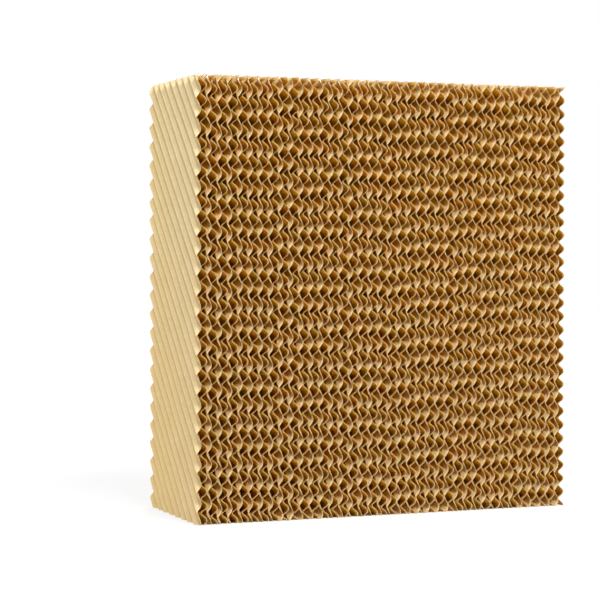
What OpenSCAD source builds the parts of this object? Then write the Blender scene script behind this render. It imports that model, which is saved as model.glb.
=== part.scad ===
// Evaporative cooling pad: a self-supporting block of fluted paper sheets.
// Steep and shallow sheets stand side by side in turn, their crests meet where the flutes cross,
// and the block is sawn flush on its front, back, top and bottom.
// X runs across the sheets, Y is the way of the air with the front at -Y, Z is up from the floor.

/* [Block] */

// Height of the block as it stands
pad_h = 575; // [150:5:1800]
// Depth of the block from its front to its back
pad_d = 200; // [50:5:300]
// Number of pairs of one steep and one shallow sheet
sheet_pairs = 38; // [1:1:60]

/* [Paper] */

// Thickness of the stiffened paper
paper_t = 0.3; // [0.2:0.05:1]
// Radius of a flute's crest to the middle of the paper
crest_r = 4.65; // [3:0.025:8]

/* [Flutes] */

// Slope of the steep flutes, which fall towards the front
steep_slope = 45; // [20:1:70]
// Slope of the shallow flutes, which fall towards the back
shallow_slope = 15; // [5:1:45]
// Shift of all steep flutes along the sheet, as a share of a flute
steep_start = 0.37; // [-0.5:0.01:0.5]
// Shift of all shallow flutes along the sheet, as a share of a flute
shallow_start = 0.12; // [-0.5:0.01:0.5]
// Largest shift of one sheet's flutes against the next like sheet, as a share of a flute
stagger = 0.16; // [0:0.01:0.5]
// Slow wander of the flutes across the stack, as a share of a flute
wander = 0.2; // [0:0.01:0.5]
// Number of pairs over which the wander comes round
wander_pairs = 13; // [3:1:40]

/* [Hidden] */

// A crest turns through the large angle of a 7, 24, 25 triangle on each side,
// so the arcs of neighbouring crests run into each other without a kink
lean = 7 / 25;
reach = 24 / 25;
// Grid that keeps the ends of neighbouring arcs exactly together
grid = 0.025;
arc_r = round(crest_r / grid) * grid;
half_flute = 2 * reach * arc_r;
flute = 2 * half_flute;
crest_offset = lean * arc_r;
sheet_h = 2 * (arc_r - crest_offset) + paper_t;
pad_w = 2 * sheet_pairs * sheet_h;
// Two like sheets share a node, and the sheet of the other kind stands between them
sheets_per_node = 2;
node_count = ceil(sheet_pairs / sheets_per_node);
steep_paper = [0.85, 0.73, 0.53];
shallow_paper = [0.80, 0.66, 0.44];
$fn = 48;

function node_name(kind, n) = str(kind, "_sheets_", n < 10 ? "0" : "", n);

// Length of a sheet along its flutes and across them, for flutes turned by a given angle
function along(turn) = pad_d * abs(sin(turn)) + pad_h * abs(cos(turn));
function across(turn) = pad_d * abs(cos(turn)) + pad_h * abs(sin(turn));

// Shift of a sheet's flutes from the middle of the block, by its slot in the stack
function shift(start, slot) =
  flute * (start + wander * sin(180 * slot / wander_pairs)
    + rands(-stagger, stagger, 1, slot)[0]);

// Section of one crest, a length of ring around the origin
module crest() {
  far = 2 * arc_r;
  intersection() {
    difference() {
      circle(arc_r + paper_t / 2);
      circle(arc_r - paper_t / 2);
    }
    polygon([
      [0, 0],
      [lean * far, reach * far],
      [far, reach * far],
      [far, -reach * far],
      [lean * far, -reach * far]
    ]);
  }
}

// Section of a sheet across its flutes, with crests to the two sides in turn
module fluted_section(length) {
  crests = ceil(length / flute) + 2;
  for (i = [-crests : crests])
    translate([0, i * half_flute])
      rotate(i % 2 == 0 ? 0 : 180)
        translate([-crest_offset, 0])
          crest();
}

// One sheet in its place in the stack, sawn to the block
module sheet(slot, turn, offset) {
  translate([(slot + 0.5) * sheet_h - pad_w / 2, 0, pad_h / 2])
    intersection() {
      rotate([turn, 0, 0])
        linear_extrude(height = along(turn) + flute, center = true)
          translate([0, offset])
            fluted_section(across(turn));
      cube([2 * sheet_h, pad_d, pad_h], center = true);
    }
}

function pairs_of(n) = [(n - 1) * sheets_per_node : min(n * sheets_per_node, sheet_pairs) - 1];

module steep_sheets(n) {
  color(steep_paper)
    for (pair = pairs_of(n))
      sheet(2 * pair, steep_slope - 90, shift(steep_start, 2 * pair));
}

module shallow_sheets(n) {
  color(shallow_paper)
    for (pair = pairs_of(n))
      sheet(2 * pair + 1, 90 - shallow_slope, shift(shallow_start, 2 * pair + 1));
}

for (n = [1 : node_count]) {
  steep_sheets(n);
  shallow_sheets(n);
}
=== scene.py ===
import math

import bpy
import numpy as np
from mathutils import Matrix, Vector


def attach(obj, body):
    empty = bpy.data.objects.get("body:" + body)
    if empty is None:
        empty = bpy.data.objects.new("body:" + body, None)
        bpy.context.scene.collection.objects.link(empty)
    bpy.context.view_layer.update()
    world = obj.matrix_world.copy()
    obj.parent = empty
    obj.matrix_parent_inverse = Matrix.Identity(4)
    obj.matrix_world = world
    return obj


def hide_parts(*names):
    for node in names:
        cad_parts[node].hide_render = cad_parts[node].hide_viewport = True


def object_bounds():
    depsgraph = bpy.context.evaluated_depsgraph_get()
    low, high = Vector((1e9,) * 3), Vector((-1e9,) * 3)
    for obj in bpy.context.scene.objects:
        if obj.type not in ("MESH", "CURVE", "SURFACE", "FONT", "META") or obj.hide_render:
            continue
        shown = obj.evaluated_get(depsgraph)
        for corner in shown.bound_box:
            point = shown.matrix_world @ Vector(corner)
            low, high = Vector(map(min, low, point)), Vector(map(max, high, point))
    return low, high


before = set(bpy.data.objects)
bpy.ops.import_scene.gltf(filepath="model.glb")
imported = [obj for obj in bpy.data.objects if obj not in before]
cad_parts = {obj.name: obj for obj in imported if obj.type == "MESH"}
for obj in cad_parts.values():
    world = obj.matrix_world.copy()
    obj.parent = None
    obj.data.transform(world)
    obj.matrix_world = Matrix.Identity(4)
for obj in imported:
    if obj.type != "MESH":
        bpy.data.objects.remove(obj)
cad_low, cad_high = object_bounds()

# Block, in metres: the sheets stand side by side along X, the front is at -Y, and Z is up
WIDTH, DEPTH, HEIGHT = cad_high - cad_low
SHEETS_PER_NODE = 2
SHEETS = SHEETS_PER_NODE * len(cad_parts)
SHEET_H = WIDTH / SHEETS
END_SLOTS = 0, SHEETS - 1

# Paper: its thickness, and the strip along a sawn edge over which it grows a little thicker
PAPER_T = 0.00030
SAWN_T = 0.00040
SAWN_BAND = 0.0016

# Flutes: length of one, radii of the crests on the two sides of a sheet, flat steps that round a crest,
# and length of one row of faces along the flutes
FLUTE = 0.017856
RIGHT_CREST_R = 0.0048
LEFT_CREST_R = 0.0020
CREST_STEPS = 4
ROW = 0.040
# Guesses that settle the rise of a fold, and the share of its reach to a side past which a crease lies
GUESSES = 40
AT_CREST = 0.9

# Kinds of sheet: turn of the flutes from upright, flutes across and rows along a blank, height of a flute
# as a share of the sheet's slot, run of its first flank as a share of the flute, and first slot
KINDS = {
    "steep": {
        "turn": math.radians(-45), "flutes": 36, "rows": 15,
        "height": 0.93, "flank": 0.54, "first": 0,
    },
    "shallow": {
        "turn": math.radians(75), "flutes": 40, "rows": 10,
        "height": 1.11, "flank": 0.49, "first": 1,
    },
}

# Small bends of a sheet along its own Y and X: size of a bend and how far it reaches, and the steps in
# the cloud texture from one sheet to the next, which give each sheet bends of its own
BENDS = {"Y": (0.060, 0.0040), "X": (0.040, 0.0004)}
CLOUD_STEP_X = 0.31
CLOUD_STEP_Y = 0.17

# Places closer than NEAR count as one, and a turn sharper than SMOOTH_ANGLE stays an edge. The bare side's
# faces have a normal that points out by more than FACING_OUT.
NEAR = 0.00001
SMOOTH_ANGLE = math.radians(35)
FACING_OUT = 0.1

# Tones of the paper inside the block
RESIN_BROWN = (0.82, 0.48, 0.022, 1)
RESIN_OLIVE = (0.75, 0.53, 0.030, 1)
# The pale tones stand for saw dust near the sawn faces, and on what faces up also for painted light from the
# key lamp
DUST_AND_LIGHT_TAN = (0.90, 0.74, 0.40, 1)
DUST_AND_LIGHT_CREAM = (0.87, 0.75, 0.42, 1)
# Painted shade that makes the pale tone darker lower down
PAINTED_LOW_SHADE = (0.88, 0.87, 0.85, 1)
AMBER_GLOW = (0.95, 0.58, 0.05, 1)

# Tones of the bare side
SIDE_BUFF = (0.78, 0.625, 0.365, 1)
SIDE_CREAM = (0.815, 0.67, 0.42, 1)
SIDE_CLOUD = (0.795, 0.615, 0.33, 1)
SIDE_LOWER = (0.92, 0.86, 0.745, 1)
SIDE_REAR = (1, 0.97, 0.86, 1)
# Painted shade for the grooves of the bare side
PAINTED_GROOVE_SHADE = (0.36, 0.285, 0.115, 1)

# Tones of fibres and of sawn edges
FIBRE_SHADE = (0.55, 0.5, 0.4, 1)
SPECK_BROWN = (0.36, 0.2, 0.04, 1)
PULP_SHADE = (0.86, 0.84, 0.76, 1)
EDGE_TAN = (0.68, 0.47, 0.16, 1)
EDGE_PALE = (0.78, 0.58, 0.25, 1)
EDGE_PATCH = (0.70, 0.44, 0.14, 1)

# Noise in the paper: scale per metre, detail and roughness
FIBRES = 1, 3, 0.65
FRAYS = 700, 3, 0.7
GRAIN = 260, 2, 0.5
# The range over which that noise shades the paper or brightens its edge
FIBRE_RANGE = 0.3, 0.6
FRAY_RANGE = 0.35, 0.65

# Patches in the paper: scale per metre, detail and roughness of the noise, and the range of it that shows
SPECKS = 900, 1, 0.5, 0.66, 0.76
PULP = 190, 2, 0.6, 0.35, 0.65
MOTTLE = 45, 2, 0.5, 0.35, 0.65
FADING = 32, 3, 0.6, 0.3, 0.7
CLOUDS = 1, 2, 0.5, 0.3, 0.7

# Fibres and clouds are drawn out upright, so they have a scale for each axis
FIBRE_STRETCH = 2600, 2600, 420
CLOUD_STRETCH = 9, 9, 4

# Share of each tone that is blended in where its pattern is strongest
FIBRE_SHARE = 0.2
SPECK_SHARE = 0.3
PULP_SHARE = 0.35
CLOUD_SHARE = 0.35
PATCH_SHARE = 0.35

# What fibres and grain add to the relief and to the roughness
FIBRE_RELIEF = 0.7
GRAIN_RELIEF = 0.6
FIBRE_ROUGHNESS = 0.2

# Dust and painted light, in metres under a sawn face: where dust clings to the edges, where the pale tone
# reaches on what faces up as dust and as painted light from the key lamp, how much deeper that reaches at
# the bottom, and where dust dims the paper at the top
EDGE_DUST = 0, 0.004
LYING_DUST_AND_LIGHT = 0.003, 0.010
LYING_DUST_AND_LIGHT_DEEPER = 0.0025
TOP_DUST = 0, 0.014
# Share of a depth under the top that counts, so that the pale tone reaches deeper there as dust and as
# painted light from above, and the range of upward normals that the pale tone covers as dust and painted
# light
TOP_DUST_AND_LIGHT_SHARE = 0.75
FACING_UP = -0.3, 0.2

# Painted shade in the grooves of the bare side: the depths between which it grows, and its strength
GROOVE_FLANK = SHEET_H * 0.15, SHEET_H * 0.70
GROOVE_FLANK_SHADE = 0.12
GROOVE_FLOOR = SHEET_H * 0.55, SHEET_H * 0.82
GROOVE_FLOOR_SHADE = 0.65

# Share of the light that comes through the paper: inside, at the dusty top and at the bare side
THROUGH = 0.34
THROUGH_TOP = 0.24
THROUGH_SIDE = 0.08

# Floor: its size and tone, the share and strength of the white it shows, and the strip inside the block's
# outline over which that white ends
FLOOR_SIZE = 14
FLOOR_GREY = (0.45, 0.45, 0.45, 1)
FLOOR_WHITE_SHARE = 0.62
FLOOR_WHITE_STRENGTH = 1.3
FLOOR_EDGE = -0.012, -0.001
WHITE = (1, 1, 1, 1)

# Light: level of the even daylight, and of each lamp its direction, its softness in degrees and its strength
DAYLIGHT = 0.16
LAMPS = {
    "key": ((0.133, -0.667, 0.733), 28, 3.45),
    "side": ((-0.95, -0.20, 0.25), 20, 2.45),
    "back": ((0.52, 0.76, 0.39), 24, 2.4),
}

# Camera: focal length and width of the picture in pixels, and width of the sensor in millimetres
FOCAL_PIXELS = 1899.9
PICTURE_PIXELS = 600
SENSOR = 36
# Height of the point it faces, its distance from there and its shift to the right, in metres, and its turn
# to the right of +Y and upwards
VIEW_HEIGHT = 0.28323
VIEW_DISTANCE = 2.6049
VIEW_SHIFT = -0.07774
VIEW_YAW = math.radians(21.657)
VIEW_PITCH = math.radians(-1.405)
VIEW_END = 50


# Materials

class Flow:
    """What comes out of a node. Sums written with it add Math nodes."""

    def __init__(self, finish, socket):
        self.finish = finish
        self.socket = socket

    def __add__(self, other):
        return self.finish.maths("ADD", self, other)

    def __sub__(self, other):
        return self.finish.maths("SUBTRACT", self, other)

    def __rsub__(self, other):
        return self.finish.maths("SUBTRACT", other, self)

    def __mul__(self, other):
        return self.finish.maths("MULTIPLY", self, other)

    def __abs__(self):
        return self.finish.maths("ABSOLUTE", self)

    __radd__ = __add__
    __rmul__ = __mul__


class Finish:
    """The node tree of a material or of the world, filled one node at a time."""

    def __init__(self, owner):
        owner.use_nodes = True
        self.owner = owner
        self.tree = owner.node_tree
        self.tree.nodes.clear()

    def node(self, kind, settings, inputs, output=0):
        """Adds a node, its settings first and then its sockets, and gives back one of its outputs."""
        node = self.tree.nodes.new("ShaderNode" + kind)
        for name, value in settings.items():
            setattr(node, name, value)
        for socket, value in inputs.items():
            if isinstance(value, Flow):
                self.tree.links.new(value.socket, node.inputs[socket])
            else:
                node.inputs[socket].default_value = value
        if node.outputs:
            return Flow(self, node.outputs[output])

    def maths(self, operation, *values):
        return self.node("Math", {"operation": operation}, dict(enumerate(values)))

    def place(self):
        return self.node("TexCoord", {}, {}, "Object")

    def along(self, vector, axis):
        return self.node("SeparateXYZ", {}, {"Vector": vector}, axis)

    def stretch(self, place, scale):
        return self.node("Mapping", {}, {"Vector": place, "Scale": scale})

    def noise(self, place, scale, detail, roughness):
        return self.node("TexNoise", {}, {
            "Vector": place, "Scale": scale, "Detail": detail, "Roughness": roughness})

    def band(self, value, low, high):
        """Brings a value from low..high to 0..1, with soft ends."""
        return self.node("MapRange", {"interpolation_type": "SMOOTHSTEP"}, {
            "Value": value, "From Min": low, "From Max": high})

    def patches(self, place, scale, detail, roughness, low, high):
        """Soft patches, 1 where a noise is over high and 0 where it is under low."""
        return self.band(self.noise(place, scale, detail, roughness), low, high)

    def blend(self, share, first, second, way="MIX"):
        """Blends a share of the second colour into the first. A Mix node's colours are its sockets 6 and 7,
        and their blend is its output 2."""
        return self.node("Mix", {"data_type": "RGBA", "blend_type": way}, {0: share, 6: first, 7: second}, 2)


def fibre_paper(paper, place, tone, through):
    """Gives a tone of paper its fibres, specks and slight relief, and lets a share of the light through."""
    fibres = paper.noise(paper.stretch(place, FIBRE_STRETCH), *FIBRES)
    between = 1 - paper.band(fibres, *FIBRE_RANGE)
    tone = paper.blend(between * FIBRE_SHARE, tone, FIBRE_SHADE, "MULTIPLY")
    tone = paper.blend(paper.patches(place, *SPECKS) * SPECK_SHARE, tone, SPECK_BROWN)
    tone = paper.blend(paper.patches(place, *PULP) * PULP_SHARE, tone, PULP_SHADE, "MULTIPLY")
    relief = fibres * FIBRE_RELIEF + paper.noise(place, *GRAIN) * GRAIN_RELIEF
    bump = paper.node("Bump", {}, {"Strength": 0.25, "Distance": 0.0001, "Height": relief})
    matt = paper.node("BsdfPrincipled", {}, {
        "Base Color": tone, "Roughness": 0.42 + fibres * FIBRE_ROUGHNESS,
        "Specular IOR Level": 0.45, "Normal": bump})
    glow = paper.node("BsdfTranslucent", {}, {"Color": AMBER_GLOW, "Normal": bump})
    both = paper.node("MixShader", {}, {0: through, 1: matt, 2: glow})
    paper.node("OutputMaterial", {}, {"Surface": both})
    return paper.owner


def depth_below(paper, y, z):
    """How deep a point of the paper is under the nearest sawn face, in metres. What is under the top
    counts for less, so that the pale tone reaches deeper there, partly as dust and partly as painted light
    from above."""
    faces = DEPTH / 2 - abs(y)
    # Under the top the pale tone reaches deeper: painted light from above, and dust
    ends = paper.maths("MINIMUM", z, (HEIGHT - z) * TOP_DUST_AND_LIGHT_SHARE)
    return paper.maths("MINIMUM", faces, ends)


def flute_paper():
    """The paper inside the block: golden brown with resin, and paler near the sawn faces, where saw dust
    clings to the edges. On what faces up the pale tone reaches deeper in, partly as dust and partly as
    painted light where the key lamp falls, deeper still lower down, where painted shade also makes it
    duller. Near the top it reaches deeper as dust and painted light from above, and the dust lets less light
    through."""
    paper = Finish(bpy.data.materials.new("flute_paper"))
    place = paper.place()
    y, z = (paper.along(place, axis) for axis in "YZ")
    up = paper.along(paper.node("TexCoord", {}, {}, "Normal"), "Z")
    low = 1 - paper.band(z, 0, HEIGHT)
    mottle = paper.patches(place, *MOTTLE)
    resin = paper.blend(mottle, RESIN_BROWN, RESIN_OLIVE)
    # The pale tone: saw dust, and on what faces up also painted light from the key lamp
    dust = paper.blend(mottle, DUST_AND_LIGHT_TAN, DUST_AND_LIGHT_CREAM)
    # Painted shade: the pale tone is darker lower down
    dust = paper.blend(low, dust, PAINTED_LOW_SHADE, "MULTIPLY")
    depth = depth_below(paper, y, z)
    clean = paper.band(depth, *EDGE_DUST)
    bare = paper.band(depth - low * LYING_DUST_AND_LIGHT_DEEPER, *LYING_DUST_AND_LIGHT)
    # Paler on what faces up: partly dust, partly painted light where the key lamp falls
    dust_and_light_up = paper.band(up, *FACING_UP)
    tone = paper.blend(clean * (1 - dust_and_light_up) + bare * dust_and_light_up, dust, resin)
    below_top = paper.band(HEIGHT - z, *TOP_DUST)
    return fibre_paper(paper, place, tone, THROUGH_TOP + below_top * (THROUGH - THROUGH_TOP))


def side_paper():
    """The bare outer faces of the two end sheets: pale and faded, duller lower down, yellower towards the
    back, and with painted shade as a darker line in each groove."""
    paper = Finish(bpy.data.materials.new("side_paper"))
    place = paper.place()
    x, y, z = (paper.along(place, axis) for axis in "XYZ")
    tone = paper.blend(paper.patches(place, *FADING), SIDE_BUFF, SIDE_CREAM)
    clouds = paper.patches(paper.stretch(place, CLOUD_STRETCH), *CLOUDS)
    tone = paper.blend(clouds * CLOUD_SHARE, tone, SIDE_CLOUD)
    tone = paper.blend(1 - paper.band(z, 0, HEIGHT), tone, SIDE_LOWER, "MULTIPLY")
    tone = paper.blend(paper.band(y, -DEPTH / 2, DEPTH / 2), tone, SIDE_REAR, "MULTIPLY")
    sunk = WIDTH / 2 - abs(x)
    # Painted shade, darker the deeper a point sits in a groove
    flank = paper.band(sunk, *GROOVE_FLANK) * GROOVE_FLANK_SHADE
    bottom = paper.band(sunk, *GROOVE_FLOOR) * GROOVE_FLOOR_SHADE
    tone = paper.blend(flank + bottom, tone, PAINTED_GROOVE_SHADE)
    return fibre_paper(paper, place, tone, THROUGH_SIDE)


def sawn_edge():
    """The paper's sawn edges: tan, with loose fibres."""
    edge = Finish(bpy.data.materials.new("sawn_edge"))
    place = edge.place()
    fray = edge.noise(place, *FRAYS)
    tone = edge.blend(edge.band(fray, *FRAY_RANGE), EDGE_TAN, EDGE_PALE)
    tone = edge.blend(edge.patches(place, *MOTTLE) * PATCH_SHARE, tone, EDGE_PATCH)
    bump = edge.node("Bump", {}, {"Strength": 0.4, "Distance": 0.0002, "Height": fray})
    matt = edge.node("BsdfPrincipled", {}, {
        "Base Color": tone, "Roughness": 0.9, "Specular IOR Level": 0.2, "Normal": bump})
    edge.node("OutputMaterial", {}, {"Surface": matt})
    return edge.owner


PAPER = flute_paper()
SIDE = side_paper()
EDGE = sawn_edge()


# Modelling by hand

def let_go():
    """Leaves edit mode and selects nothing."""
    if bpy.context.object and bpy.context.object.mode != "OBJECT":
        bpy.ops.object.mode_set(mode="OBJECT")
    bpy.ops.object.select_all(action="DESELECT")


def hold(piece):
    """Selects one piece alone and makes it the active one."""
    let_go()
    piece.select_set(True)
    bpy.context.view_layer.objects.active = piece


def rows(parts, name, width, kind=np.float32):
    """One row of values for each point, edge or face of a mesh."""
    values = np.empty(len(parts) * width, kind)
    parts.foreach_get(name, values)
    return values.reshape(-1, width)


def points(piece):
    """The places of a piece's points."""
    return rows(piece.data.vertices, "co", 3)


def pick(piece, kind, chosen):
    """Opens edit mode with these points, edges or faces of a piece selected, and nothing else."""
    hold(piece)
    mesh = piece.data
    for name, parts in (("VERT", mesh.vertices), ("EDGE", mesh.edges), ("FACE", mesh.polygons)):
        parts.foreach_set("select", chosen if name == kind else np.zeros(len(parts), bool))
    bpy.ops.object.mode_set(mode="EDIT")
    bpy.ops.mesh.select_mode(type=kind)


def pick_all(piece):
    """Opens edit mode with the whole of a piece selected."""
    pick(piece, "VERT", np.ones(len(piece.data.vertices), bool))


def repeat(piece, count, step):
    """Repeats a piece along a step with an Array modifier, and applies it."""
    hold(piece)
    array = piece.modifiers.new("repeat", "ARRAY")
    array.count = count
    array.use_relative_offset = False
    array.use_constant_offset = True
    array.constant_offset_displace = step
    array.use_merge_vertices = True
    array.merge_threshold = NEAR
    bpy.ops.object.modifier_apply(modifier=array.name)


# Fluted blanks

def sharp_fold(span, up, down):
    """The rise of a fold with sharp creases that spans the sheet once they are rounded, found by closer and
    closer guesses, and half the angle by which each crease turns the paper."""
    rise = span
    for guess in range(GUESSES):
        slopes = math.atan(rise / up), math.atan(rise / down)
        bend = sum(slopes) / 2
        lost = math.cos((slopes[0] - slopes[1]) / 2) / math.cos(bend) - 1
        rise = span + (RIGHT_CREST_R + LEFT_CREST_R) * lost
    return rise, bend


def creases(piece, side):
    """Marks the edges of a blank that run along its flutes on one side of the sheet."""
    ends = points(piece)[rows(piece.data.edges, "vertices", 2, np.int32)]
    way = np.ptp(ends, axis=1)
    out = ends[:, 0, 0] * side
    return (way[:, 2] > way[:, 1]) & (out > np.abs(out).max() * AT_CREST)


def round_creases(piece, side, radius, bend):
    """Rounds off the creases on one side of a blank."""
    pick(piece, "EDGE", creases(piece, side))
    bpy.ops.mesh.bevel(offset_type="OFFSET", offset=radius * math.tan(bend), segments=CREST_STEPS,
                       profile=0.5, affect="EDGES", clamp_overlap=False)
    let_go()


def fluted_blank(name, flutes, rows_along, height, flank):
    """A sheet before sawing, around the origin: X across the sheet, Y across its flutes, Z along them.
    One fold is drawn out of a strip, repeated and rounded off, with a right crest at Y = 0."""
    up, down = FLUTE * flank, FLUTE * (1 - flank)
    rise, bend = sharp_fold(SHEET_H * height - PAPER_T, up, down)
    let_go()
    bpy.ops.mesh.primitive_plane_add(size=1, rotation=(0, math.radians(90), 0))
    blank = bpy.context.object
    blank.name = blank.data.name = name
    bpy.ops.object.transform_apply(location=True, rotation=True, scale=True)
    pick_all(blank)
    bpy.ops.transform.resize(value=(1, up, ROW))
    bpy.ops.transform.translate(value=(-rise / 2, -(FLUTE * flutes + up) / 2, -ROW * (rows_along - 1) / 2))
    let_go()
    pick(blank, "VERT", points(blank)[:, 1] > points(blank)[:, 1].mean())
    bpy.ops.transform.translate(value=(rise, 0, 0))
    bpy.ops.mesh.extrude_region_move(TRANSFORM_OT_translate={"value": (-rise, down, 0)})
    repeat(blank, flutes, (0, FLUTE, 0))
    round_creases(blank, 1, RIGHT_CREST_R, bend)
    round_creases(blank, -1, LEFT_CREST_R, bend)
    repeat(blank, rows_along, (0, 0, ROW))
    across = points(blank)[:, 0]
    pick_all(blank)
    bpy.ops.mesh.normals_make_consistent(inside=False)
    bpy.ops.transform.translate(value=(-(across.max() + across.min()) / 2, 0, 0))
    let_go()
    return blank


# Sheets in their slots

def slot_place(slot):
    return (slot + 0.5) * SHEET_H - WIDTH / 2


def crest_shift(node, slot, turn):
    """How far the crests of a sheet are shifted along it, read off the sheet's own CAD node."""
    x, y, z = points(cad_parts[node]).T.astype(float)
    x = x - slot_place(slot)
    along = y * math.cos(turn) + (z - HEIGHT / 2) * math.sin(turn)
    wave = x * np.exp(-2j * math.pi * along / FLUTE)
    return -np.angle(np.sum(wave[np.abs(x) < SHEET_H])) / (2 * math.pi) * FLUTE


def warp(piece, axis, size, reach):
    """Bends a piece gently along one axis with a cloud texture, so that no two sheets are quite alike."""
    texture = bpy.data.textures.get(f"warp_{axis}") or bpy.data.textures.new(f"warp_{axis}", "CLOUDS")
    texture.noise_scale = size
    bend = piece.modifiers.new("warp", "DISPLACE")
    bend.texture = texture
    bend.texture_coords = "GLOBAL"
    bend.direction = axis
    bend.mid_level = 0.5
    bend.strength = reach
    bpy.ops.object.modifier_apply(modifier=bend.name)


def fluted_copy(blank, node, slot, turn):
    """A copy of a blank with its own small bends, turned and put in its slot."""
    hold(blank)
    bpy.ops.object.duplicate(linked=False)
    copy = bpy.context.object
    copy.location = (CLOUD_STEP_X * (slot + 1), CLOUD_STEP_Y * slot, 0)
    bpy.context.view_layer.update()
    for axis, (size, reach) in BENDS.items():
        warp(copy, axis, size, reach)
    turned = Matrix.Rotation(turn, 4, "X")
    shift = Matrix.Translation((0, crest_shift(node, slot, turn), 0))
    copy.matrix_world = Matrix.Translation((slot_place(slot), 0, HEIGHT / 2)) @ turned @ shift
    bpy.context.view_layer.update()
    bpy.ops.object.transform_apply(location=True, rotation=True, scale=True)
    return copy


# Sawing

# A point of each saw cut and the way out of the block
SAW_CUTS = [
    (Vector((0, -DEPTH / 2, 0)), Vector((0, -1, 0))),
    (Vector((0, DEPTH / 2, 0)), Vector((0, 1, 0))),
    (Vector((0, 0, 0)), Vector((0, 0, -1))),
    (Vector((0, 0, HEIGHT)), Vector((0, 0, 1))),
]


def join(name, copies):
    """Joins the sheets of one node into one piece."""
    piece = copies[0]
    hold(piece)
    for copy in copies:
        copy.select_set(True)
    bpy.ops.object.join()
    piece.name = piece.data.name = name
    return piece


def saw(piece):
    """Saws a piece to the block, and parts its faces along the strips where the paper grows thicker."""
    pick_all(piece)
    for spot, out in SAW_CUTS:
        bpy.ops.mesh.select_all(action="SELECT")
        bpy.ops.mesh.bisect(plane_co=spot, plane_no=out, clear_outer=True)
    for spot, out in SAW_CUTS:
        bpy.ops.mesh.select_all(action="SELECT")
        bpy.ops.mesh.bisect(plane_co=spot - out * SAWN_BAND, plane_no=out)
    let_go()


def near_cut(piece, spot, out, reach):
    """Marks the points of a piece that lie within reach of a saw cut."""
    return np.abs((points(piece) - np.array(spot)) @ np.array(out)) < reach


def thicken(piece):
    """Gives the paper its thickness, a little more at the sawn edges, and the edges their own finish."""
    piece.data.materials.append(PAPER)
    piece.data.materials.append(EDGE)
    at_saw = np.any([near_cut(piece, spot, out, NEAR) for spot, out in SAW_CUTS], axis=0)
    sawn = piece.vertex_groups.new(name="sawn")
    sawn.add(np.flatnonzero(at_saw).tolist(), 1.0, "REPLACE")
    hold(piece)
    wall = piece.modifiers.new("paper", "SOLIDIFY")
    wall.thickness = SAWN_T
    wall.offset = 0
    wall.vertex_group = sawn.name
    wall.thickness_vertex_group = PAPER_T / SAWN_T
    wall.use_even_offset = True
    wall.material_offset_rim = 1
    bpy.ops.object.modifier_apply(modifier=wall.name)


def level_rims(piece):
    """Presses the rims of the paper flat onto the saw cuts."""
    for spot, out in SAW_CUTS:
        pick(piece, "VERT", near_cut(piece, spot, out, SAWN_T))
        bpy.ops.transform.resize(value=[1 - abs(n) for n in out], center_override=spot)
        let_go()


def sawn_sheets(name, copies):
    """The sheets of one node, joined, sawn to the block and given the paper's thickness."""
    piece = join(name, copies)
    saw(piece)
    thicken(piece)
    level_rims(piece)
    hold(piece)
    bpy.ops.object.shade_smooth_by_angle(angle=SMOOTH_ANGLE)
    return piece


def bare_side(piece, slot):
    """Gives the outer face of an end sheet its own finish."""
    faces = piece.data.polygons
    away = np.abs(rows(faces, "center", 3)[:, 0] - slot_place(slot))
    out = rows(faces, "normal", 3)[:, 0] * (-1 if slot == 0 else 1)
    finish = rows(faces, "material_index", 1, np.int32)[:, 0]
    piece.data.materials.append(SIDE)
    piece.active_material_index = len(piece.data.materials) - 1
    pick(piece, "FACE", (away < SHEET_H) & (out > FACING_OUT) & (finish == 0))
    bpy.ops.object.material_slot_assign()
    let_go()


for kind, lie in KINDS.items():
    blank = fluted_blank(f"{kind}_blank", lie["flutes"], lie["rows"], lie["height"], lie["flank"])
    nodes = sorted(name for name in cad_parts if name.startswith(f"{kind}_sheets_"))
    for number, node in enumerate(nodes):
        pairs = range(SHEETS_PER_NODE * number, SHEETS_PER_NODE * (number + 1))
        slots = [len(KINDS) * pair + lie["first"] for pair in pairs]
        copies = [fluted_copy(blank, node, slot, lie["turn"]) for slot in slots]
        piece = sawn_sheets(node.replace("sheets", "paper"), copies)
        for slot in slots:
            if slot in END_SLOTS:
                bare_side(piece, slot)
        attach(piece, "root")
        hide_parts(node)
    hold(blank)
    bpy.ops.object.delete()


# Floor, light and camera

def in_view(finish):
    """1 where a ray comes from the camera, straight or by way of gloss or glass, and 0 for light that
    falls on the block."""
    rays = "Camera", "Glossy", "Transmission"
    return sum(finish.node("LightPath", {}, {}, f"Is {ray} Ray") for ray in rays)


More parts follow.
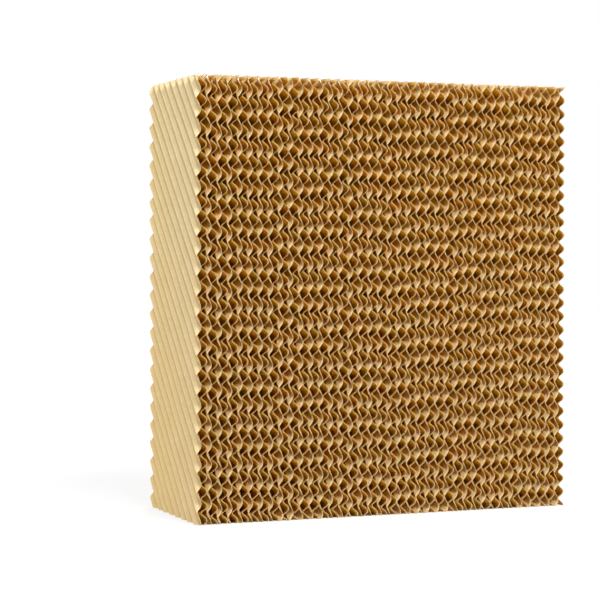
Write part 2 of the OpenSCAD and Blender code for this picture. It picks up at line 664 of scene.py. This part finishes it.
def floor():
    """A floor that shows as white and keeps the block's shadow. Under the block it shows no white."""
    let_go()
    bpy.ops.mesh.primitive_plane_add(size=FLOOR_SIZE)
    ground = bpy.context.object
    ground.name = "studio_floor"
    pale = Finish(bpy.data.materials.new("studio_floor"))
    x, y = (pale.along(pale.place(), axis) for axis in "XY")
    beyond = pale.maths("MAXIMUM", abs(x) - WIDTH / 2, abs(y) - DEPTH / 2)
    seen = in_view(pale) * pale.band(beyond, *FLOOR_EDGE)
    matt = pale.node("BsdfPrincipled", {}, {
        "Base Color": FLOOR_GREY, "Roughness": 0.9, "Specular IOR Level": 0.1})
    white = pale.node("Emission", {}, {"Color": WHITE, "Strength": FLOOR_WHITE_STRENGTH})
    mixed = pale.node("MixShader", {}, {0: seen * FLOOR_WHITE_SHARE, 1: matt, 2: white})
    pale.node("OutputMaterial", {}, {"Surface": mixed})
    ground.data.materials.append(pale.owner)


def daylight(level):
    """An even world that lights the block at one level and shows as white."""
    world = bpy.data.worlds.new("studio")
    bpy.context.scene.world = world
    sky = Finish(world)
    lit = sky.node("Background", {}, {"Color": WHITE, "Strength": level})
    white = sky.node("Background", {}, {"Color": WHITE, "Strength": 1})
    mixed = sky.node("MixShader", {}, {0: in_view(sky), 1: lit, 2: white})
    sky.node("OutputWorld", {}, {"Surface": mixed})


def sunlight(name, place, softness, strength):
    """A soft light that falls the same way all over, from the direction of a place."""
    lamp = bpy.data.lights.new(name, "SUN")
    lamp.angle = math.radians(softness)
    lamp.energy = strength
    sun = bpy.data.objects.new(name, lamp)
    bpy.context.scene.collection.objects.link(sun)
    sun.rotation_euler = Vector(place).to_track_quat("Z", "Y").to_euler()


def camera():
    """The camera, which faces a point on the block's upright middle line and then steps to the right."""
    level = math.cos(VIEW_PITCH)
    ahead = Vector((math.sin(VIEW_YAW) * level, math.cos(VIEW_YAW) * level, math.sin(VIEW_PITCH)))
    right = Vector((math.cos(VIEW_YAW), -math.sin(VIEW_YAW), 0))
    eye = bpy.data.cameras.new("camera")
    eye.sensor_width = SENSOR
    eye.lens = FOCAL_PIXELS * SENSOR / PICTURE_PIXELS
    eye.clip_end = VIEW_END
    stand = bpy.data.objects.new("camera", eye)
    bpy.context.scene.collection.objects.link(stand)
    stand.location = Vector((0, 0, VIEW_HEIGHT)) - ahead * VIEW_DISTANCE + right * VIEW_SHIFT
    stand.rotation_euler = ahead.to_track_quat("-Z", "Y").to_euler()
    bpy.context.scene.camera = stand


floor()
daylight(DAYLIGHT)
for name, (place, softness, strength) in LAMPS.items():
    sunlight(name, place, softness, strength)
camera()
bpy.context.scene.view_settings.view_transform = "Standard"
